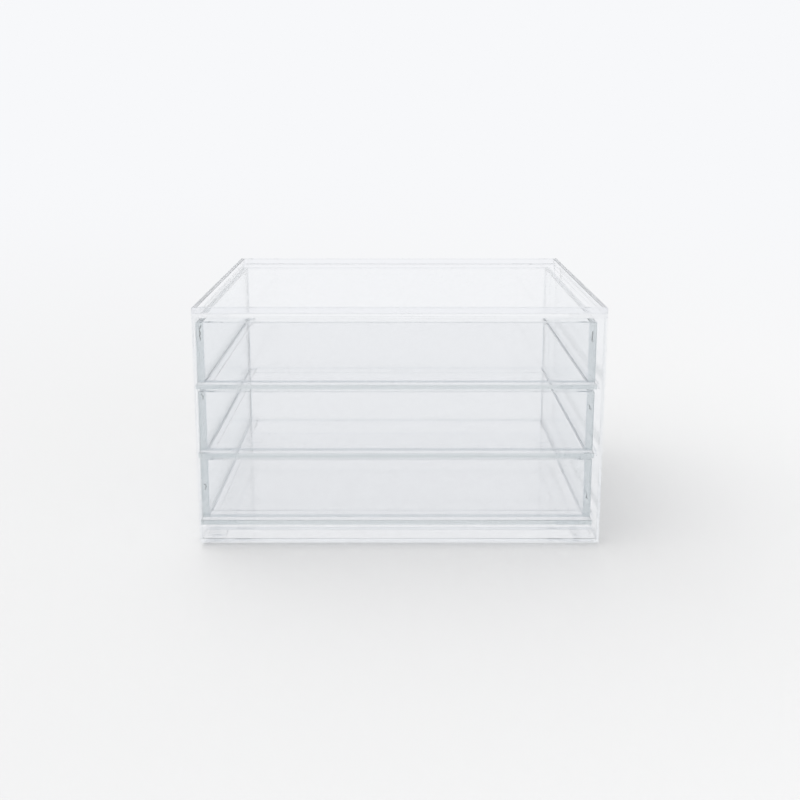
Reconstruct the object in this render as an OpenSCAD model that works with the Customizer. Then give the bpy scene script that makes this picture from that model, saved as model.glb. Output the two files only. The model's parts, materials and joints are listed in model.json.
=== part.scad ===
// Clear acrylic case with three pull-out drawers, glued up from cut and polished sheet.
// Frame: origin on the table under the middle of the whole box, +Z up, drawers open towards -Y, +X to the right.

/* [Case] */
// Outer width of the case
case_w = 255; // [230:1:290]
// Depth of the case, from the front edges of its walls to the back face
case_d = 165; // [140:1:200]
// Thickness of the two side walls
wall_t = 2; // [1.5:0.5:4]
// Thickness of the bottom panel
bottom_t = 3; // [2:0.5:5]
// Thickness of the top panel
top_t = 3; // [2:0.5:5]
// Thickness of the back panel
back_t = 3; // [2:0.5:5]
// Space between the bottom panel and the bottom drawer's floor
base_gap = 12; // [8:0.5:20]
// Space between the top drawer's rim and the top panel
top_gap = 2.6; // [1:0.1:6]

/* [Stacking rim and feet] */
// Width of the strips that edge the top panel
rim_w = 3; // [2:0.5:5]
// Height of the strips above the top panel
rim_h = 3.7; // [3:0.1:8]
// Side length of a square foot
foot_size = 11.5; // [8:0.5:20]
// Height of a foot
foot_h = 2.4; // [1.5:0.1:3]
// Play between a foot and the side strips of a case that it stands on
nest_side = 0.6; // [0.2:0.1:2]
// Play between a foot and the front or back strip of a case that it stands on
nest_end = 4.3; // [0.5:0.1:8]

/* [Drawers] */
// Height of a drawer, with its floor
drawer_h = 41; // [30:1:70]
// Thickness of a drawer's floor
floor_t = 3; // [2:0.5:5]
// How far the floor stands out in front as a finger lip
lip_d = 5; // [3:0.5:10]
// Thickness of a drawer's front
front_t = 3; // [2:0.5:5]
// Thickness of a drawer's two sides
side_t = 4; // [2:0.5:6]
// Thickness of a drawer's back
drawer_back_t = 3; // [2:0.5:5]

/* [Runners and rail] */
// Width of a runner, from its wall inwards
runner_w = 9; // [7:0.5:20]
// Thickness of a runner
runner_t = 3; // [2:0.5:5]
// How far the upper runners start behind the front of the case
runner_setback = 6; // [4:0.5:20]
// Thickness of the rail under the bottom drawer
rail_t = 3; // [2:0.5:5]
// How far the rail stands behind the front of the case, which leaves the finger room
rail_setback = 11.5; // [8:0.5:25]

/* [Clearances] */
// Gap left of a drawer, which stands pushed over to the left
left_gap = 0.3; // [0.2:0.1:3]
// Gap right of a drawer
right_gap = 4.3; // [0.2:0.1:5]
// Gap behind a shut drawer
rear_gap = 0.5; // [0.3:0.1:3]
// Gap between a drawer's floor and the runner that it slides on
slide_gap = 0.1; // [0.1:0.05:0.5]
// Gap between a drawer's rim and the runner above it
over_gap = 0.3; // [0.2:0.1:2]

/* [Hidden] */
CASE_CLEAR = [0.86, 0.93, 0.94, 0.35];
DRAWER_CLEAR = [0.80, 0.90, 0.91, 0.35];
RUNNER_CLEAR = [0.84, 0.90, 0.90, 0.45];
FOOT_CLEAR = [0.78, 0.83, 0.84, 0.6];

// Levels count from the bottom: 0 is the bottom drawer, 1 the middle one, 2 the top one.
BOTTOM = 0;
MIDDLE = 1;
TOP = 2;
LEFT = -1;
RIGHT = 1;

// Along Y: the lip is in front of the case and the box of both is centred on the origin.
front_y = -(case_d - lip_d) / 2;
back_y = front_y + case_d;
lip_y = front_y - lip_d;
back_panel_y = back_y - back_t;
rail_y = front_y + rail_setback;
drawer_back_y = back_panel_y - rear_gap;

// Along X
inner_x = case_w / 2 - wall_t;
drawer_left_x = -inner_x + left_gap;
drawer_right_x = inner_x - right_gap;
drawer_w = drawer_right_x - drawer_left_x;
foot_outer_x = case_w / 2 - rim_w - nest_side;

// Along Z
panel_z = foot_h;
wall_z = panel_z + bottom_t;
pitch = drawer_h + over_gap + runner_t + slide_gap;
function floor_z(level) = wall_z + base_gap + level * pitch;
top_z = floor_z(TOP) + drawer_h + top_gap;
rim_z = top_z + top_t;
wall_h = top_z - wall_z;

// A flat piece of sheet between two opposite corners.
module sheet(low, high) {
    translate(low)
        cube(high - low);
}

// The case: two full-width panels with the walls and the back glued between them.
module bottom_panel() {
    color(CASE_CLEAR)
        sheet([-case_w / 2, front_y, panel_z], [case_w / 2, back_y, wall_z]);
}

module top_panel() {
    color(CASE_CLEAR)
        sheet([-case_w / 2, front_y, top_z], [case_w / 2, back_y, rim_z]);
}

module wall(side) {
    color(CASE_CLEAR)
        mirror([side == LEFT ? 1 : 0, 0, 0])
            sheet([inner_x, front_y, wall_z], [case_w / 2, back_y, wall_z + wall_h]);
}

module back_panel() {
    color(CASE_CLEAR)
        sheet([-inner_x, back_panel_y, wall_z], [inner_x, back_y, wall_z + wall_h]);
}

// The rim: four strips on the top panel that hold the feet of another case.
module cross_rim_strip(y) {
    color(CASE_CLEAR)
        sheet([-case_w / 2, y, rim_z], [case_w / 2, y + rim_w, rim_z + rim_h]);
}

module side_rim_strip(side) {
    color(CASE_CLEAR)
        mirror([side == LEFT ? 1 : 0, 0, 0])
            sheet([case_w / 2 - rim_w, front_y + rim_w, rim_z], [case_w / 2, back_y - rim_w, rim_z + rim_h]);
}

// The rail stands on the bottom panel and carries the front of the bottom drawer.
module front_rail() {
    color(RUNNER_CLEAR)
        sheet([-inner_x, rail_y, wall_z], [inner_x, rail_y + rail_t, floor_z(BOTTOM) - slide_gap]);
}

// A runner is a flat strip on a wall. The bottom pair starts behind the rail.
module runner(level, side) {
    start_y = level == BOTTOM ? rail_y + rail_t : front_y + runner_setback;
    upper_z = floor_z(level) - slide_gap;
    color(RUNNER_CLEAR)
        mirror([side == LEFT ? 1 : 0, 0, 0])
            sheet([inner_x - runner_w, start_y, upper_z - runner_t], [inner_x, back_panel_y, upper_z]);
}

// A foot lies just inside the line of the rim, so that cases stack.
module foot(side, at_back) {
    low_y = at_back ? back_y - rim_w - nest_end - foot_size : front_y + rim_w + nest_end;
    color(FOOT_CLEAR)
        mirror([side == LEFT ? 1 : 0, 0, 0])
            sheet([foot_outer_x - foot_size, low_y, 0], [foot_outer_x, low_y + foot_size, foot_h]);
}

// A drawer: everything stands on its floor, and the front covers the ends of the sides.
module drawer_floor(level) {
    z = floor_z(level);
    color(DRAWER_CLEAR)
        sheet([drawer_left_x, lip_y, z], [drawer_right_x, drawer_back_y, z + floor_t]);
}

module drawer_front(level) {
    z = floor_z(level);
    color(DRAWER_CLEAR)
        sheet([drawer_left_x, front_y, z + floor_t], [drawer_right_x, front_y + front_t, z + drawer_h]);
}

module drawer_side(level, side) {
    z = floor_z(level);
    x = side == LEFT ? drawer_left_x : drawer_right_x - side_t;
    color(DRAWER_CLEAR)
        sheet([x, front_y + front_t, z + floor_t], [x + side_t, drawer_back_y, z + drawer_h]);
}

module drawer_back(level) {
    z = floor_z(level);
    color(DRAWER_CLEAR)
        sheet(
            [drawer_left_x + side_t, drawer_back_y - drawer_back_t, z + floor_t],
            [drawer_right_x - side_t, drawer_back_y, z + drawer_h]
        );
}

bottom_panel();
wall(LEFT);  // left_wall
wall(RIGHT);  // right_wall
back_panel();
top_panel();
cross_rim_strip(front_y);  // front_rim_strip
cross_rim_strip(back_y - rim_w);  // back_rim_strip
side_rim_strip(LEFT);  // left_rim_strip
side_rim_strip(RIGHT);  // right_rim_strip
front_rail();
runner(TOP, LEFT);  // top_left_runner
runner(TOP, RIGHT);  // top_right_runner
runner(MIDDLE, LEFT);  // middle_left_runner
runner(MIDDLE, RIGHT);  // middle_right_runner
runner(BOTTOM, LEFT);  // bottom_left_runner
runner(BOTTOM, RIGHT);  // bottom_right_runner
foot(LEFT, false);  // front_left_foot
foot(RIGHT, false);  // front_right_foot
foot(LEFT, true);  // back_left_foot
foot(RIGHT, true);  // back_right_foot
drawer_front(TOP);  // top_drawer_front
drawer_floor(TOP);  // top_drawer_floor
drawer_side(TOP, LEFT);  // top_drawer_left_side
drawer_side(TOP, RIGHT);  // top_drawer_right_side
drawer_back(TOP);  // top_drawer_back
drawer_front(MIDDLE);  // middle_drawer_front
drawer_floor(MIDDLE);  // middle_drawer_floor
drawer_side(MIDDLE, LEFT);  // middle_drawer_left_side
drawer_side(MIDDLE, RIGHT);  // middle_drawer_right_side
drawer_back(MIDDLE);  // middle_drawer_back
drawer_front(BOTTOM);  // bottom_drawer_front
drawer_floor(BOTTOM);  // bottom_drawer_floor
drawer_side(BOTTOM, LEFT);  // bottom_drawer_left_side
drawer_side(BOTTOM, RIGHT);  // bottom_drawer_right_side
drawer_back(BOTTOM);  // bottom_drawer_back
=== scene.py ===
"""Looks of a clear acrylic case with three pull-out drawers: polished sheets, glue, feet and a pale studio.

The file is laid out as an add-on and run as a script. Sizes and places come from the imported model.
"""

import json
import math
from collections import namedtuple
from itertools import combinations

import bmesh
import bpy
from bpy.props import FloatProperty, FloatVectorProperty, IntProperty, PointerProperty
from bpy.types import Operator, Panel, PropertyGroup
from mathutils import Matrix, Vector


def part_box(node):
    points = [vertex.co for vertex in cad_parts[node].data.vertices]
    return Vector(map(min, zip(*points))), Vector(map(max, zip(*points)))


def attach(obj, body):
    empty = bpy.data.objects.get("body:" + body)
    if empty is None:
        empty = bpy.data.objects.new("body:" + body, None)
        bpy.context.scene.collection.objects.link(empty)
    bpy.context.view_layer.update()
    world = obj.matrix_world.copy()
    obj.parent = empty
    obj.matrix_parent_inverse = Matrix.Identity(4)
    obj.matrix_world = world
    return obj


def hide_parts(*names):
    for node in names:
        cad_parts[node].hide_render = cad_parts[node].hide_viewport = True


bl_info = {
    "name": "Clear Drawer Case",
    "version": (1, 0, 0),
    "blender": (4, 5, 0),
    "location": "3D Viewport > Sidebar > Drawer Case",
    "description": "Builds a clear acrylic drawer case sheet by sheet, with its glue and a pale studio",
    "category": "Object",
}

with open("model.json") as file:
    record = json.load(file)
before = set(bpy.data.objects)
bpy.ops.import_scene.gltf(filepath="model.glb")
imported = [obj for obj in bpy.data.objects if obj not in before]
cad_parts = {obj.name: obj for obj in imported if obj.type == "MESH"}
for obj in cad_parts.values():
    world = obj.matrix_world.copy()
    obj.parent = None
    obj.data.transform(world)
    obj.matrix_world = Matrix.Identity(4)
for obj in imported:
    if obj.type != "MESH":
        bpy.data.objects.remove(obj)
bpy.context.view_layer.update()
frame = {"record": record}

MM = 0.001
BODIES = frame["record"]["behaviour"]["bodies"]
BODY_OF = {node: body for body, nodes in BODIES.items() for node in nodes}

PANELS = ("bottom_panel", "left_wall", "right_wall", "back_panel", "top_panel")
RIM_STRIPS = tuple(f"{side}_rim_strip" for side in ("front", "back", "left", "right"))
CROSS_STRIPS = RIM_STRIPS[:2]
LEVELS = ("top", "middle", "bottom")
SIDES = ("left", "right")
RUNNERS = ("front_rail", *(f"{level}_{side}_runner" for level in LEVELS for side in SIDES))
FEET = tuple(f"{end}_{side}_foot" for end in ("front", "back") for side in SIDES)
DRAWER_SHEETS = ("floor", "front", "left_side", "right_side", "back")
DRAWERS = tuple(f"{level}_drawer" for level in LEVELS)

# Two boxes whose faces are nearer than this touch.
TOUCH = 0.001 * MM
# A face is square to an axis, and no bevel, where its normal reaches further than this along the axis.
SQUARE = 0.99

# Sheets whose joints are left without lines of glue, because these made low views of the rim noisy.
BARE_JOINTS = {"top_panel", *RIM_STRIPS}
# An inner corner that is shorter than this has no line of glue.
SHORTEST_BEAD = 20 * MM
# How far a line of glue ends before the end of its corner.
BEAD_END = 0.5 * MM
BEAD_SIDES = 8
# Share of the rings of a line of glue that carry a bubble.
BUBBLE_CHANCE = 0.12
# Radius of the smallest bubble, as a share of the largest.
SMALLEST_BUBBLE = 0.35
BUBBLE_SUBDIVISIONS = 2
# The inputs of the geometry nodes that make the glue, with the kind of each.
GLUE_INPUTS = {
    "Lines": "Geometry", "Bead": "Float", "Ring Spacing": "Float", "Void Width": "Float",
    "Void Wander": "Float", "Bubble": "Float", "Seed": "Int", "Glue": "Material", "Void": "Material"}

# Joints between a drawer's front and its sides where the glue left a void: drawer, side, how far below the
# rim the void starts, and how far down it reaches.
VOIDS = (
    ("top_drawer", "left_side", 2 * MM, 10 * MM),
    ("top_drawer", "right_side", 6 * MM, 7 * MM),
    ("middle_drawer", "left_side", 1.5 * MM, 4 * MM),
    ("middle_drawer", "right_side", 9 * MM, 3 * MM),
    ("bottom_drawer", "left_side", 17 * MM, 4 * MM),
    ("bottom_drawer", "right_side", 24 * MM, 3 * MM))
VOID_SIDES = 10
VOID_RING_SPACING = 0.35 * MM
# Thickness of a void, as a share of its width.
VOID_FLATNESS = 0.3

# Uneven values: the scale and detail of a noise, the part of its range that counts, and its end values.
Uneven = namedtuple("Uneven", "scale detail noise_low noise_high low high")
SMUDGE_ROUGHNESS = Uneven(34.0, 3.0, 0.5, 0.8, 0.0, 0.02)
SAWN_ROUGHNESS = Uneven(900.0, 2.0, 0.3, 0.7, 0.02, 0.08)
GLUE_ROUGHNESS = Uneven(700.0, 1.0, 0.3, 0.7, 0.0, 0.04)
VOID_TONE = Uneven(500.0, 2.0, 0.35, 0.65, 0.2, 0.6)
CUT_ROUGHNESS = 0.03
VOID_ROUGHNESS = 0.1
VOID_IOR = 1.15
# The noise that makes a void wind: its scale, detail and mean.
WIND_SCALE = 420.0
WIND_DETAIL = 1.0
WIND_MEAN = 0.5
# The noise that swells a line of glue: its scale, its detail, and the part of its range that counts.
SWELL_SCALE = 60.0
SWELL_DETAIL = 2.0
SWELL_FROM = 0.3
SWELL_TO = 0.7
# Radius of a line of glue where it is thinnest, as a share of its full radius.
THINNEST_BEAD = 0.6

FLOOR_RADIUS = 8.0
FLOOR_CORNERS = 96
FLOOR_ROUGHNESS = 0.3
# How far the floor lies below the feet, which keeps the two from sharing a plane.
FLOOR_DROP = 0.05 * MM
# The floor fades into the background between these distances, by 1 / (distance + reach).
FADE_FROM = 0.2
FADE_TO = 4.0
FADE_REACH = 0.55
# Y parts of a direction between which the reflected world turns from the room into the background.
ROOM_ENDS = -0.5
BACKGROUND_STARTS = 0.3
# Cosine of the angle from the middle of the broad light at which it has faded out.
LIGHT_RIM = 0.35
# With fewer bounces the edges of stacked clear sheet turn black.
BOUNCES = 64
CAMERA_PLACE = Vector((-0.0017, -0.571, 0.2785))
CAMERA_SIDE_SHIFT = 0.004


class SheetSettings(PropertyGroup):
    """Sizes and colours of the acrylic sheet."""

    arris: FloatProperty(
        name="Arris", description="Width of the polished bevel along each edge of a sheet",
        default=0.18 * MM, min=0.05 * MM, max=1 * MM, unit="LENGTH", precision=5)
    # The bevel tints are painted shade: they draw a dark line along each edge of a sheet.
    arris_shade_tint: FloatVectorProperty(
        name="Arris Tint", description="Colour that the case's bevels let through, as a fine line on edges",
        default=(0.68, 0.70, 0.72), min=0, max=1, size=3, subtype="COLOR")
    drawer_arris_shade_tint: FloatVectorProperty(
        name="Drawer Arris Tint", description="Colour that the drawers' bevels let through",
        default=(0.80, 0.82, 0.83), min=0, max=1, size=3, subtype="COLOR")
    weld: FloatProperty(
        name="Weld", description="How far a glued face is let into the sheet that it stands on",
        default=0.02 * MM, min=0.005 * MM, max=0.1 * MM, unit="LENGTH", precision=5)
    case_tint: FloatVectorProperty(
        name="Case Tint", description="Colour that each face of the case's sheet lets through",
        default=(0.994, 0.995, 0.997), min=0, max=1, size=3, subtype="COLOR")
    drawer_tint: FloatVectorProperty(
        name="Drawer Tint", description="Colour that each face of the drawers' sheet lets through",
        default=(0.966, 0.968, 0.972), min=0, max=1, size=3, subtype="COLOR")
    # Painted shade: the drawers' sides get a darker copy of the drawer sheet, which darkens the view through
    # them.
    side_shade_tint: FloatVectorProperty(
        name="Side Tint", description="Colour that each face of a drawer's thick sides lets through",
        default=(0.945, 0.956, 0.962), min=0, max=1, size=3, subtype="COLOR")
    cross_rim_tint: FloatVectorProperty(
        name="Cross Rim Tint", description="Colour that each face of the front and back strip lets through",
        default=(0.963, 0.966, 0.977), min=0, max=1, size=3, subtype="COLOR")
    side_rim_tint: FloatVectorProperty(
        name="Side Rim Tint", description="Colour that each face of the rim's two side strips lets through",
        default=(0.998, 0.998, 1.0), min=0, max=1, size=3, subtype="COLOR")
    depth_tint: FloatVectorProperty(
        name="Depth Tint", description="Colour that builds up along a sheet, as its edges show it",
        default=(0.58, 0.64, 0.65), min=0, max=1, size=3, subtype="COLOR")
    case_depth: FloatProperty(
        name="Case Depth", description="How fast the depth tint builds up in the case, for each metre",
        default=0.4, min=0, max=50)
    drawer_depth: FloatProperty(
        name="Drawer Depth", description="How fast the depth tint builds up in the drawers, for each metre",
        default=3.9, min=0, max=50)
    ior: FloatProperty(
        name="IOR", description="Index of refraction of acrylic", default=1.49, min=1.3, max=1.6)


class GlueSettings(PropertyGroup):
    """The fine lines of glue along the joints, and the places that the glue didn't reach."""

    bead: FloatProperty(
        name="Bead", description="Radius of the line of glue along an inner corner",
        default=0.26 * MM, min=0.05 * MM, max=0.5 * MM, unit="LENGTH", precision=5)
    ring_spacing: FloatProperty(
        name="Ring Spacing", description="Distance between the rings of a line of glue",
        default=5 * MM, min=1 * MM, max=50 * MM, unit="LENGTH", precision=5)
    void_width: FloatProperty(
        name="Void Width", description="Width of the winding mark that a void in the glue leaves",
        default=0.6 * MM, min=0.1 * MM, max=3 * MM, unit="LENGTH", precision=5)
    void_wander: FloatProperty(
        name="Void Wander", description="How far a void winds from side to side in its joint",
        default=5 * MM, min=0, max=10 * MM, unit="LENGTH", precision=5)
    bubble: FloatProperty(
        name="Bubble", description="Radius of the largest bubble in the glue",
        default=0.25 * MM, min=0.05 * MM, max=1 * MM, unit="LENGTH", precision=5)
    glue_tint: FloatVectorProperty(
        name="Glue Tint", description="Colour that each face of a line of glue lets through",
        default=(0.86, 0.88, 0.90), min=0, max=1, size=3, subtype="COLOR")
    glue_ior: FloatProperty(
        name="Glue IOR", description="Index of refraction of the glue, lower than real to keep it faint",
        default=1.12, min=1.0, max=1.6)
    seed: IntProperty(
        name="Seed", description="Seed for the places of the bubbles and voids", default=7, min=0)


class StageSettings(PropertyGroup):
    """The studio: floor, background, light and camera."""

    floor_color: FloatVectorProperty(
        name="Floor", description="Colour of the floor",
        default=(0.95, 0.95, 0.953), min=0, max=1, size=3, subtype="COLOR")
    background: FloatVectorProperty(
        name="Background", description="Colour of the background, into which the floor fades far away",
        default=(0.93, 0.938, 0.956), min=0, max=1, size=3, subtype="COLOR")
    room: FloatVectorProperty(
        name="Room", description="Colour of the room behind the camera, as the fronts reflect it",
        default=(0.86, 0.87, 0.89), min=0, max=1, size=3, subtype="COLOR")
    low_light: FloatProperty(
        name="Low Light", description="Strength of the soft light from all round", default=0.62, min=0, max=2)
    high_light: FloatProperty(
        name="High Light", description="Strength in the middle of the broad light at the upper left",
        default=1.55, min=0, max=4)
    through_light: FloatProperty(
        name="Through Light", description="Share of the light that reaches the floor through the clear case",
        default=0.65, min=0, max=1)
    # Painted light: seen through the case, this share of the floor glows as background, which lightens the
    # case's shadow on it.
    clear_glow_share: FloatProperty(
        name="Clear Share", description="How much of the floor seen through sheet is plain background",
        default=0.7, min=0, max=1)
    light_from: FloatVectorProperty(
        name="Light From", description="Way from the case to the middle of the broad light",
        default=(-0.6, 0.25, 0.76), size=3, subtype="DIRECTION")
    lens: FloatProperty(
        name="Lens", description="Focal length of the camera on a 36 mm sensor",
        default=37.1, min=10, max=200, unit="CAMERA")
    pitch: FloatProperty(
        name="Pitch", description="How far the camera looks down",
        default=math.radians(8.7), min=0, max=math.pi / 2, subtype="ANGLE")
    lens_drop: FloatProperty(
        name="Lens Drop", description="Downward shift of the lens, in picture widths",
        default=0.21, min=0, max=0.4)


def add(tree, kind, inputs=None, **settings):
    """A new node in tree. An input that is given a socket is linked to it."""
    node = tree.nodes.new(kind)
    for name, value in settings.items():
        setattr(node, name, value)
    for name, value in (inputs or {}).items():
        if isinstance(value, bpy.types.NodeSocket):
            tree.links.new(value, node.inputs[name])
        else:
            node.inputs[name].default_value = value
    return node


def rgba(color):
    return (*color, 1.0)


def new_material(name):
    material = bpy.data.materials.new(name)
    material.use_nodes = True
    material.node_tree.nodes.clear()
    return material


def uneven(tree, kind):
    """A value that wanders over the piece between the ends that kind gives."""
    place = add(tree, "ShaderNodeTexCoord").outputs["Object"]
    noise = add(tree, "ShaderNodeTexNoise", {"Vector": place, "Scale": kind.scale, "Detail": kind.detail})
    return add(tree, "ShaderNodeMapRange", {
        "Value": noise.outputs["Fac"], "From Min": kind.noise_low, "From Max": kind.noise_high,
        "To Min": kind.low, "To Max": kind.high}).outputs["Result"]


def clear_surface(tree, color, roughness, ior):
    """Gives the material a clear surface. Returns its output node."""
    shader = add(tree, "ShaderNodeBsdfPrincipled", {
        "Base Color": color, "Roughness": roughness, "IOR": ior, "Transmission Weight": 1.0})
    return add(tree, "ShaderNodeOutputMaterial", {"Surface": shader.outputs["BSDF"]})


def acrylic(name, sheet, tint, bevel_shade_tint, depth):
    """Polished cast sheet: clear faces with faint smudges, slightly duller cut edges, and bevels tinted
    darker, painted shade that draws a dark line along each edge.
    """
    material = new_material(name)
    tree = material.node_tree
    cut = add(tree, "ShaderNodeAttribute", attribute_name="cut_edge").outputs["Fac"]
    roughness = add(tree, "ShaderNodeMix", {
        "Factor": cut, "A": uneven(tree, SMUDGE_ROUGHNESS), "B": CUT_ROUGHNESS}, data_type="FLOAT")
    bevel = add(tree, "ShaderNodeAttribute", attribute_name="arris").outputs["Fac"]
    # Painted shade: the bevels let through a darker colour, which draws a dark line along each edge.
    color = add(tree, "ShaderNodeMixRGB", {"Fac": bevel, "Color1": rgba(tint), "Color2": rgba(bevel_shade_tint)})
    output = clear_surface(tree, color.outputs["Color"], roughness.outputs["Result"], sheet.ior)
    inside = add(tree, "ShaderNodeVolumeAbsorption", {"Color": rgba(sheet.depth_tint), "Density": depth})
    tree.links.new(inside.outputs["Volume"], output.inputs["Volume"])
    return material


def satin_acrylic(name, sheet, tint):
    """Sheet with a fine sawn finish, as on the feet."""
    material = new_material(name)
    tree = material.node_tree
    clear_surface(tree, rgba(tint), uneven(tree, SAWN_ROUGHNESS), sheet.ior)
    return material


def touches(one, other):
    """(axis, side) of the face where box one meets box other. Side is 0 for its low face, 1 for its high one.
    None if they don't touch."""
    for axis in range(3):
        across = [other_axis for other_axis in range(3) if other_axis != axis]
        if all(min(one[1][a], other[1][a]) - max(one[0][a], other[0][a]) > TOUCH for a in across):
            for side in (0, 1):
                if abs(one[side][axis] - other[1 - side][axis]) < TOUCH:
                    return axis, side
    return None


def face_area(corners, axis):
    size = corners[1] - corners[0]
    return size[axis - 1] * size[axis - 2]


def welded_faces():
    """For each node, the faces that are glued to a larger face of another sheet on the same body."""
    found = {node: set() for node in BODY_OF}
    for nodes in BODIES.values():
        for one, other in combinations(nodes, 2):
            meeting = touches(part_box(one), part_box(other))
            if meeting is None:
                continue
            axis, side = meeting
            if face_area(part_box(one), axis) <= face_area(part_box(other), axis):
                found[one].add((axis, side))
            else:
                found[other].add((axis, 1 - side))
    return found


WELDED = welded_faces()


def sheet_mesh(name, corners, welded, sheet):
    """A sheet between two corners. A glued face is square and let in by the weld, and the other edges have
    an arris. The cut edges and the arrises are marked."""
    low, high = (corner.copy() for corner in corners)
    for axis, side in welded:
        (low, high)[side][axis] += (-1, 1)[side] * sheet.weld
    size = high - low
    thin = min(range(3), key=lambda axis: size[axis])
    shape = bmesh.new()
    bmesh.ops.create_cube(shape, size=1.0)
    for corner in shape.verts:
        corner.co = (low + high) / 2 + corner.co * size
    bmesh.ops.recalc_face_normals(shape, faces=shape.faces[:])
    glued = {
        face for face in shape.faces for axis, side in welded
        if face.normal[axis] * (-1, 1)[side] > SQUARE}
    free = [edge for edge in shape.edges if not glued.intersection(edge.link_faces)]
    bmesh.ops.bevel(
        shape, geom=free, offset=sheet.arris, offset_type="OFFSET", segments=2, profile=0.5, affect="EDGES")
    bmesh.ops.recalc_face_normals(shape, faces=shape.faces[:])
    cut = shape.faces.layers.float.new("cut_edge")
    arris = shape.faces.layers.float.new("arris")
    for face in shape.faces:
        face[cut] = 0.0 if abs(face.normal[thin]) > SQUARE else 1.0
        face[arris] = 0.0 if max(abs(part) for part in face.normal) > SQUARE else 1.0
    mesh = bpy.data.meshes.new(name)
    shape.to_mesh(mesh)
    shape.free()
    return mesh


def make_sheet(node, sheet, material):
    """Makes the visible sheet that stands for one node of the model."""
    name = f"{node}_sheet"
    piece = bpy.data.objects.new(name, sheet_mesh(name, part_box(node), WELDED[node], sheet))
    bpy.context.collection.objects.link(piece)
    piece.data.materials.append(material)
    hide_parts(node)
    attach(piece, BODY_OF[node])


def along(axis, value, point):
    """A copy of point with value on one axis."""
    moved = point.copy()
    moved[axis] = value
    return moved


def inner_corners(one, other, set_off):
    """The lines, as pairs of ends, where two touching boxes form an inner corner. Each line is set off from
    both faces of its corner."""
    meeting = touches(one, other)
    if meeting is None:
        return []
    axis, side = meeting
    low = Vector(max(one[0][a], other[0][a]) for a in range(3))
    high = Vector(min(one[1][a], other[1][a]) for a in range(3))
    lines = []
    for across in range(3):
        run = 3 - axis - across
        if across == axis or high[run] - low[run] < SHORTEST_BEAD:
            continue
        for end, outward in ((0, -1), (1, 1)):
            edge = (low, high)[end][across]
            one_goes_on = outward * (one[end][across] - edge) > TOUCH
            if not one_goes_on and not outward * (other[end][across] - edge) > TOUCH:
                continue
            upward = (-1, 1)[side] * (1 if one_goes_on else -1)
            start = along(across, edge + outward * set_off, low)
            start = along(axis, one[side][axis] + upward * set_off, start)
            start = along(run, low[run] + BEAD_END, start)
            lines.append((start, along(run, high[run] - BEAD_END, start)))
    return lines


def glue_lines(body, set_off):
    """The inner corners of a body that hold glue. None runs on top of a runner, where a drawer slides."""
    lines = []
    for one, other in combinations(BODIES[body], 2):
        if BARE_JOINTS.intersection((one, other)):
            continue
        for start, end in inner_corners(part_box(one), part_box(other), set_off):
            runner = [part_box(node) for node in (one, other) if "runner" in node]
            if not any(start.z > corners[1].z for corners in runner):
                lines.append((start, end))
    return lines


def void_lines(body):
    """The upright lines in the middle of a drawer's front joints where the glue left a void."""
    lines = []
    for drawer, side, depth, length in VOIDS:
        if drawer == body:
            low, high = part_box(f"{drawer}_{side}")
            start = Vector(((low.x + high.x) / 2, low.y, high.z - depth))
            lines.append((start, along(2, start.z - length, start)))
    return lines


def line_mesh(name, lines, voids):
    """A mesh of loose edges: the glue lines and then the voids, which are marked on their points."""
    points = [point for line in lines + voids for point in line]
    mesh = bpy.data.meshes.new(name)
    mesh.from_pydata(points, [(i, i + 1) for i in range(0, len(points), 2)], [])
    void = mesh.attributes.new("void", "FLOAT", "POINT")
    plane = mesh.attributes.new("joint_y", "FLOAT", "POINT")
    for i, point in enumerate(points):
        void.data[i].value = 1.0 if i >= 2 * len(lines) else 0.0
        plane.data[i].value = point.y
    return mesh


def calc(tree, operation, *values):
    """The result of one math node."""
    return add(tree, "ShaderNodeMath", dict(enumerate(values)), operation=operation).outputs[0]


def named(tree, name):
    """A point attribute, by its name."""
    node = add(tree, "GeometryNodeInputNamedAttribute", {"Name": name}, data_type="FLOAT")
    return node.outputs["Attribute"]


def place_noise(tree, seed, scale, detail):
    """Noise at each point's place, different for each seed."""
    place = add(tree, "GeometryNodeInputPosition").outputs["Position"]
    noise = add(tree, "ShaderNodeTexNoise", {"Vector": place, "W": seed, "Scale": scale, "Detail": detail},
                noise_dimensions="4D")
    return noise.outputs["Fac"]


def ringed_path(tree, lines, spacing):
    """A curve through loose edges, with a point for each ring of the tube that is laid along it."""
    curve = add(tree, "GeometryNodeMeshToCurve", {"Mesh": lines}).outputs["Curve"]
    path = add(tree, "GeometryNodeResampleCurve", {"Curve": curve, "Length": spacing}, mode="LENGTH")
    return path.outputs["Curve"]


def tube(tree, path, radius, sides):
    """A closed tube with rounded shading along a curve."""
    ring = add(tree, "GeometryNodeCurvePrimitiveCircle", {"Resolution": sides, "Radius": radius})
    skin = add(tree, "GeometryNodeCurveToMesh", {
        "Curve": path, "Profile Curve": ring.outputs["Curve"], "Fill Caps": True})
    return add(tree, "GeometryNodeSetShadeSmooth", {"Geometry": skin.outputs["Mesh"]}).outputs["Geometry"]


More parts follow.
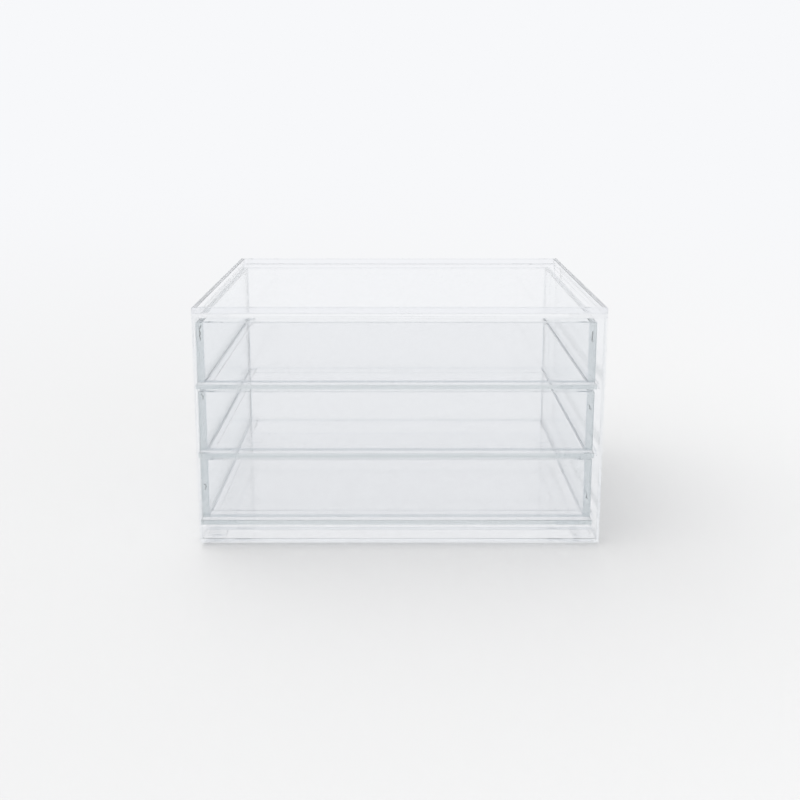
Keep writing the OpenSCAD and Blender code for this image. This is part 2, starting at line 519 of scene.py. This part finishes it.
def beads_and_bubbles(tree, given, lines):
    """Lines of glue that swell and thin out, and bubbles on some of their rings."""
    path = ringed_path(tree, lines, given["Ring Spacing"])
    swell = add(tree, "ShaderNodeMapRange", {
        "Value": place_noise(tree, given["Seed"], SWELL_SCALE, SWELL_DETAIL),
        "From Min": SWELL_FROM, "From Max": SWELL_TO, "To Min": THINNEST_BEAD, "To Max": 1.0})
    path = add(tree, "GeometryNodeSetCurveRadius", {"Curve": path, "Radius": swell.outputs["Result"]})
    beads = tube(tree, path.outputs["Curve"], given["Bead"], BEAD_SIDES)

    chosen = add(tree, "FunctionNodeRandomValue", {
        "Probability": BUBBLE_CHANCE, "Seed": given["Seed"]}, data_type="BOOLEAN").outputs[3]
    size = add(tree, "FunctionNodeRandomValue", {
        2: SMALLEST_BUBBLE, 3: 1.0, "Seed": given["Seed"]}, data_type="FLOAT").outputs[1]
    ball = add(tree, "GeometryNodeMeshIcoSphere", {
        "Radius": given["Bubble"], "Subdivisions": BUBBLE_SUBDIVISIONS}).outputs["Mesh"]
    bubbles = add(tree, "GeometryNodeInstanceOnPoints", {
        "Points": path.outputs["Curve"], "Selection": chosen, "Instance": ball, "Scale": size})
    return beads, bubbles.outputs["Instances"]


def flat_voids(tree, given, lines):
    """Winding marks that are flattened into the plane of their joint."""
    path = ringed_path(tree, lines, VOID_RING_SPACING)
    wind = calc(tree, "SUBTRACT", place_noise(tree, given["Seed"], WIND_SCALE, WIND_DETAIL), WIND_MEAN)
    sideways = add(tree, "ShaderNodeCombineXYZ", {"X": calc(tree, "MULTIPLY", wind, given["Void Wander"])})
    path = add(tree, "GeometryNodeSetPosition", {"Geometry": path, "Offset": sideways.outputs["Vector"]})
    voids = tube(tree, path.outputs["Geometry"], calc(tree, "MULTIPLY", given["Void Width"], 0.5), VOID_SIDES)

    place = add(tree, "GeometryNodeInputPosition").outputs["Position"]
    axes = add(tree, "ShaderNodeSeparateXYZ", {0: place}).outputs
    joint_y = named(tree, "joint_y")
    out = calc(tree, "SUBTRACT", axes["Y"], joint_y)
    flat_y = calc(tree, "MULTIPLY_ADD", out, VOID_FLATNESS, joint_y)
    flat = add(tree, "ShaderNodeCombineXYZ", {"X": axes["X"], "Y": flat_y, "Z": axes["Z"]})
    return add(tree, "GeometryNodeSetPosition", {
        "Geometry": voids, "Position": flat.outputs["Vector"]}).outputs["Geometry"]


def glue_tree():
    """Geometry nodes that turn loose edges into lines of glue with bubbles, and marked ones into voids."""
    tree = bpy.data.node_groups.new("Glue Lines", "GeometryNodeTree")
    for name, kind in GLUE_INPUTS.items():
        tree.interface.new_socket(name, in_out="INPUT", socket_type=f"NodeSocket{kind}")
    tree.interface.new_socket("Glue", in_out="OUTPUT", socket_type="NodeSocketGeometry")
    given = add(tree, "NodeGroupInput").outputs
    is_void = named(tree, "void")
    parts = add(tree, "GeometryNodeSeparateGeometry", {"Geometry": given["Lines"], "Selection": is_void})
    beads, bubbles = beads_and_bubbles(tree, given, parts.outputs["Inverted"])
    voids = flat_voids(tree, given, parts.outputs["Selection"])

    joined = add(tree, "GeometryNodeJoinGeometry")
    for branch in (beads, bubbles, voids):
        tree.links.new(branch, joined.inputs["Geometry"])
    real = add(tree, "GeometryNodeRealizeInstances", {"Geometry": joined.outputs["Geometry"]})
    glued = add(tree, "GeometryNodeSetMaterial", {
        "Geometry": real.outputs["Geometry"], "Material": given["Glue"]})
    marked = add(tree, "GeometryNodeSetMaterial", {
        "Geometry": glued.outputs["Geometry"], "Selection": is_void, "Material": given["Void"]})
    add(tree, "NodeGroupOutput", {"Glue": marked.outputs["Geometry"]})
    return tree


def modifier_to_mesh(piece, values):
    """Gives the piece's geometry nodes their inputs by name, and makes their result the piece's mesh."""
    modifier = piece.modifiers[0]
    sockets = {item.name: item.identifier for item in modifier.node_group.interface.items_tree
               if item.item_type == "SOCKET" and item.in_out == "INPUT"}
    for name, value in values.items():
        modifier[sockets[name]] = value
    depsgraph = bpy.context.evaluated_depsgraph_get()
    mesh = bpy.data.meshes.new_from_object(piece.evaluated_get(depsgraph))
    piece.modifiers.remove(modifier)
    piece.data = mesh
    mesh.name = piece.name


def clear_glue(name, tint, ior):
    """Set solvent glue: clear, with a slightly uneven skin."""
    material = new_material(name)
    tree = material.node_tree
    clear_surface(tree, rgba(tint), uneven(tree, GLUE_ROUGHNESS), ior)
    return material


def trapped_air(name):
    """A void between two glued faces: a grey, half clear mark, uneven in tone."""
    material = new_material(name)
    tree = material.node_tree
    tone = uneven(tree, VOID_TONE)
    color = add(tree, "ShaderNodeCombineColor", {"Red": tone, "Green": tone, "Blue": tone})
    clear_surface(tree, color.outputs["Color"], VOID_ROUGHNESS, VOID_IOR)
    return material


class CASE_OT_panels(Operator):
    """Make the bottom, the walls, the back and the top of the case"""

    bl_idname = "drawer_case.panels"
    bl_label = "Make Panels"

    def execute(self, context):
        sheet = context.scene.case_sheet
        material = acrylic("Polished Panel Sheet", sheet, sheet.case_tint, sheet.arris_shade_tint, sheet.case_depth)
        for node in PANELS:
            make_sheet(node, sheet, material)
        return {"FINISHED"}


class CASE_OT_rim(Operator):
    """Make the four strips that edge the top panel"""

    bl_idname = "drawer_case.rim"
    bl_label = "Make Rim"

    def execute(self, context):
        sheet = context.scene.case_sheet
        cross = acrylic("Polished Cross Strip", sheet, sheet.cross_rim_tint, sheet.arris_shade_tint, 0.0)
        along_side = acrylic("Polished Side Strip", sheet, sheet.side_rim_tint, sheet.side_rim_tint, 0.0)
        for node in RIM_STRIPS:
            make_sheet(node, sheet, cross if node in CROSS_STRIPS else along_side)
        return {"FINISHED"}


class CASE_OT_runners(Operator):
    """Make the runners on the walls and the rail under the bottom drawer"""

    bl_idname = "drawer_case.runners"
    bl_label = "Make Runners"

    def execute(self, context):
        sheet = context.scene.case_sheet
        material = acrylic("Runner Strip", sheet, sheet.case_tint, sheet.arris_shade_tint, sheet.case_depth)
        for node in RUNNERS:
            make_sheet(node, sheet, material)
        return {"FINISHED"}


class CASE_OT_feet(Operator):
    """Make the four feet"""

    bl_idname = "drawer_case.feet"
    bl_label = "Make Feet"

    def execute(self, context):
        sheet = context.scene.case_sheet
        material = satin_acrylic("Satin Foot", sheet, sheet.case_tint)
        for node in FEET:
            make_sheet(node, sheet, material)
        return {"FINISHED"}


class CASE_OT_drawers(Operator):
    """Make the five sheets of each drawer"""

    bl_idname = "drawer_case.drawers"
    bl_label = "Make Drawers"

    def execute(self, context):
        sheet = context.scene.case_sheet
        bevel_shade_tint = sheet.drawer_arris_shade_tint
        thin = acrylic("Polished Drawer Sheet", sheet, sheet.drawer_tint, bevel_shade_tint, sheet.drawer_depth)
        # The sides take the darker copy of the sheet: painted shade on the view through them.
        thick = acrylic("Shaded Thick Drawer Sheet", sheet, sheet.side_shade_tint, bevel_shade_tint, sheet.drawer_depth)
        for drawer in DRAWERS:
            for part in DRAWER_SHEETS:
                make_sheet(f"{drawer}_{part}", sheet, thick if "side" in part else thin)
        return {"FINISHED"}


class CASE_OT_glue(Operator):
    """Make the lines of glue, with their bubbles and voids, on each body"""

    bl_idname = "drawer_case.glue"
    bl_label = "Make Glue"

    def execute(self, context):
        glue = context.scene.case_glue
        tree = glue_tree()
        values = {
            "Bead": glue.bead, "Ring Spacing": glue.ring_spacing, "Void Width": glue.void_width,
            "Void Wander": glue.void_wander, "Bubble": glue.bubble, "Seed": glue.seed,
            "Glue": clear_glue("Clear Glue", glue.glue_tint, glue.glue_ior),
            "Void": trapped_air("Void In Glue")}
        for body in BODIES:
            name = f"{body}_glue"
            mesh = line_mesh(name, glue_lines(body, glue.bead / 2), void_lines(body))
            piece = bpy.data.objects.new(name, mesh)
            context.collection.objects.link(piece)
            piece.modifiers.new("Glue", "NODES").node_group = tree
            modifier_to_mesh(piece, values)
            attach(piece, body)
        return {"FINISHED"}


def seen_rays(tree):
    """1 for the rays by which the camera, mirrors and clear things see a surface, 0 for the others."""
    path = add(tree, "ShaderNodeLightPath").outputs
    looks = calc(tree, "MAXIMUM", path["Is Camera Ray"], path["Is Glossy Ray"])
    return calc(tree, "MAXIMUM", looks, path["Is Transmission Ray"])


def floor_material(stage):
    """Pale matt floor. Far away the camera and clear things see it fade into the background's colour.
    Seen through clear sheet it is partly background everywhere, a painted glow that lightens the case's
    shadow.
    """
    material = new_material("Pale Floor")
    tree = material.node_tree
    place = add(tree, "ShaderNodeTexCoord").outputs["Object"]
    distance = add(tree, "ShaderNodeVectorMath", {0: place}, operation="LENGTH").outputs["Value"]
    near = calc(tree, "DIVIDE", 1.0, calc(tree, "ADD", distance, FADE_REACH))
    # Through clear sheet part of the floor glows as background, also under the case: painted light on the
    # case's shadow.
    through = add(tree, "ShaderNodeLightPath").outputs["Is Transmission Ray"]
    start = calc(tree, "MULTIPLY", through, stage.clear_glow_share)
    far = add(tree, "ShaderNodeMapRange", {
        "Value": near, "From Min": 1 / (FADE_REACH + FADE_FROM), "From Max": 1 / (FADE_REACH + FADE_TO),
        "To Min": start}, interpolation_type="SMOOTHSTEP")
    share = calc(tree, "MULTIPLY", seen_rays(tree), far.outputs["Result"])
    matt = add(tree, "ShaderNodeBsdfDiffuse", {
        "Color": rgba(stage.floor_color), "Roughness": FLOOR_ROUGHNESS})
    background_glow = add(tree, "ShaderNodeEmission", {"Color": rgba(stage.background), "Strength": 1.0})
    mixed = add(tree, "ShaderNodeMixShader", {0: share, 1: matt.outputs[0], 2: background_glow.outputs[0]})
    add(tree, "ShaderNodeOutputMaterial", {"Surface": mixed.outputs[0]})
    return material


def make_floor(stage):
    shape = bmesh.new()
    bmesh.ops.create_circle(shape, cap_ends=True, radius=FLOOR_RADIUS, segments=FLOOR_CORNERS)
    for corner in shape.verts:
        corner.co.z = -FLOOR_DROP
    mesh = bpy.data.meshes.new("floor")
    shape.to_mesh(mesh)
    shape.free()
    floor = bpy.data.objects.new("floor", mesh)
    bpy.context.collection.objects.link(floor)
    mesh.materials.append(floor_material(stage))


def make_world(stage):
    """Soft light from all round with one broad brighter part. The camera and clear sheets see the background,
    and polished faces reflect it too, with the room behind the camera."""
    world = bpy.data.worlds.new("Studio")
    bpy.context.scene.world = world
    world.use_nodes = True
    tree = world.node_tree
    tree.nodes.clear()
    way = add(tree, "ShaderNodeTexCoord").outputs["Generated"]
    split = add(tree, "ShaderNodeSeparateXYZ", {0: way}).outputs
    ahead = add(tree, "ShaderNodeMapRange", {
        "Value": split["Y"], "From Min": ROOM_ENDS, "From Max": BACKGROUND_STARTS},
        interpolation_type="SMOOTHSTEP")
    toward = add(tree, "ShaderNodeVectorMath", {0: way, 1: stage.light_from}, operation="DOT_PRODUCT")
    level = add(tree, "ShaderNodeMapRange", {
        "Value": toward.outputs["Value"], "From Min": LIGHT_RIM, "From Max": 1.0,
        "To Min": stage.low_light, "To Max": stage.high_light}, interpolation_type="SMOOTHSTEP")
    room = add(tree, "ShaderNodeBackground", {"Color": rgba(stage.room), "Strength": 1.0})
    pale = add(tree, "ShaderNodeBackground", {"Color": rgba(stage.background), "Strength": 1.0})
    seen = seen_rays(tree)
    shade = add(tree, "ShaderNodeMapRange", {"Value": seen, "To Min": 1.0, "To Max": stage.through_light})
    strength = calc(tree, "MULTIPLY", level.outputs["Result"], shade.outputs["Result"])
    lights = add(tree, "ShaderNodeBackground", {"Color": (1, 1, 1, 1), "Strength": strength})
    mirrored = add(tree, "ShaderNodeMixShader", {
        0: ahead.outputs["Result"], 1: room.outputs[0], 2: pale.outputs[0]})
    path = add(tree, "ShaderNodeLightPath").outputs
    looked_at = add(tree, "ShaderNodeMixShader", {
        0: path["Is Glossy Ray"], 1: pale.outputs[0], 2: mirrored.outputs[0]})
    # A ray that has left a matt surface looks for light, also where it then passes through clear sheet.
    no_matt_yet = calc(tree, "LESS_THAN", path["Diffuse Depth"], 0.5)
    looking = calc(tree, "MULTIPLY", seen, no_matt_yet)
    mixed = add(tree, "ShaderNodeMixShader", {0: looking, 1: lights.outputs[0], 2: looked_at.outputs[0]})
    add(tree, "ShaderNodeOutputWorld", {"Surface": mixed.outputs[0]})


def make_camera(stage):
    data = bpy.data.cameras.new("camera")
    data.lens = stage.lens
    data.sensor_width = 36.0
    data.shift_x = CAMERA_SIDE_SHIFT
    data.shift_y = -stage.lens_drop
    data.clip_start = 0.01
    data.clip_end = 50.0
    camera = bpy.data.objects.new("camera", data)
    bpy.context.collection.objects.link(camera)
    camera.location = CAMERA_PLACE
    camera.rotation_euler = (math.pi / 2 - stage.pitch, 0.0, 0.0)
    bpy.context.scene.camera = camera


class CASE_OT_stage(Operator):
    """Make the floor, the light and the camera"""

    bl_idname = "drawer_case.stage"
    bl_label = "Make Stage"

    def execute(self, context):
        stage = context.scene.case_stage
        scene = context.scene
        scene.view_settings.view_transform = "Standard"
        # Filter Glossy would darken the floor under the case, and the denoiser's helper pictures would draw
        # a hatch on clear edges.
        scene.cycles.blur_glossy = 0.0
        scene.cycles.denoising_input_passes = "RGB"
        scene.cycles.max_bounces = BOUNCES
        scene.cycles.glossy_bounces = BOUNCES
        scene.cycles.transmission_bounces = BOUNCES
        make_floor(stage)
        make_world(stage)
        make_camera(stage)
        return {"FINISHED"}


class CASE_PT_sidebar(Panel):
    """Sizes, colours and steps of the drawer case"""

    bl_idname = "CASE_PT_sidebar"
    bl_label = "Drawer Case"
    bl_space_type = "VIEW_3D"
    bl_region_type = "UI"
    bl_category = "Drawer Case"

    def draw(self, context):
        scene = context.scene
        for settings in (scene.case_sheet, scene.case_glue, scene.case_stage):
            box = self.layout.box()
            for name in type(settings).__annotations__:
                box.prop(settings, name)
        for step in STEPS:
            self.layout.operator(step.bl_idname)


STEPS = (
    CASE_OT_panels, CASE_OT_rim, CASE_OT_runners, CASE_OT_feet, CASE_OT_drawers, CASE_OT_glue, CASE_OT_stage)
CLASSES = (SheetSettings, GlueSettings, StageSettings, *STEPS, CASE_PT_sidebar)


def register():
    for each in CLASSES:
        bpy.utils.register_class(each)
    bpy.types.Scene.case_sheet = PointerProperty(type=SheetSettings)
    bpy.types.Scene.case_glue = PointerProperty(type=GlueSettings)
    bpy.types.Scene.case_stage = PointerProperty(type=StageSettings)


def unregister():
    del bpy.types.Scene.case_stage
    del bpy.types.Scene.case_glue
    del bpy.types.Scene.case_sheet
    for each in reversed(CLASSES):
        bpy.utils.unregister_class(each)


def main():
    register()
    bpy.ops.drawer_case.panels()
    bpy.ops.drawer_case.rim()
    bpy.ops.drawer_case.runners()
    bpy.ops.drawer_case.feet()
    bpy.ops.drawer_case.drawers()
    bpy.ops.drawer_case.glue()
    bpy.ops.drawer_case.stage()


if __name__ == "__main__":
    main()
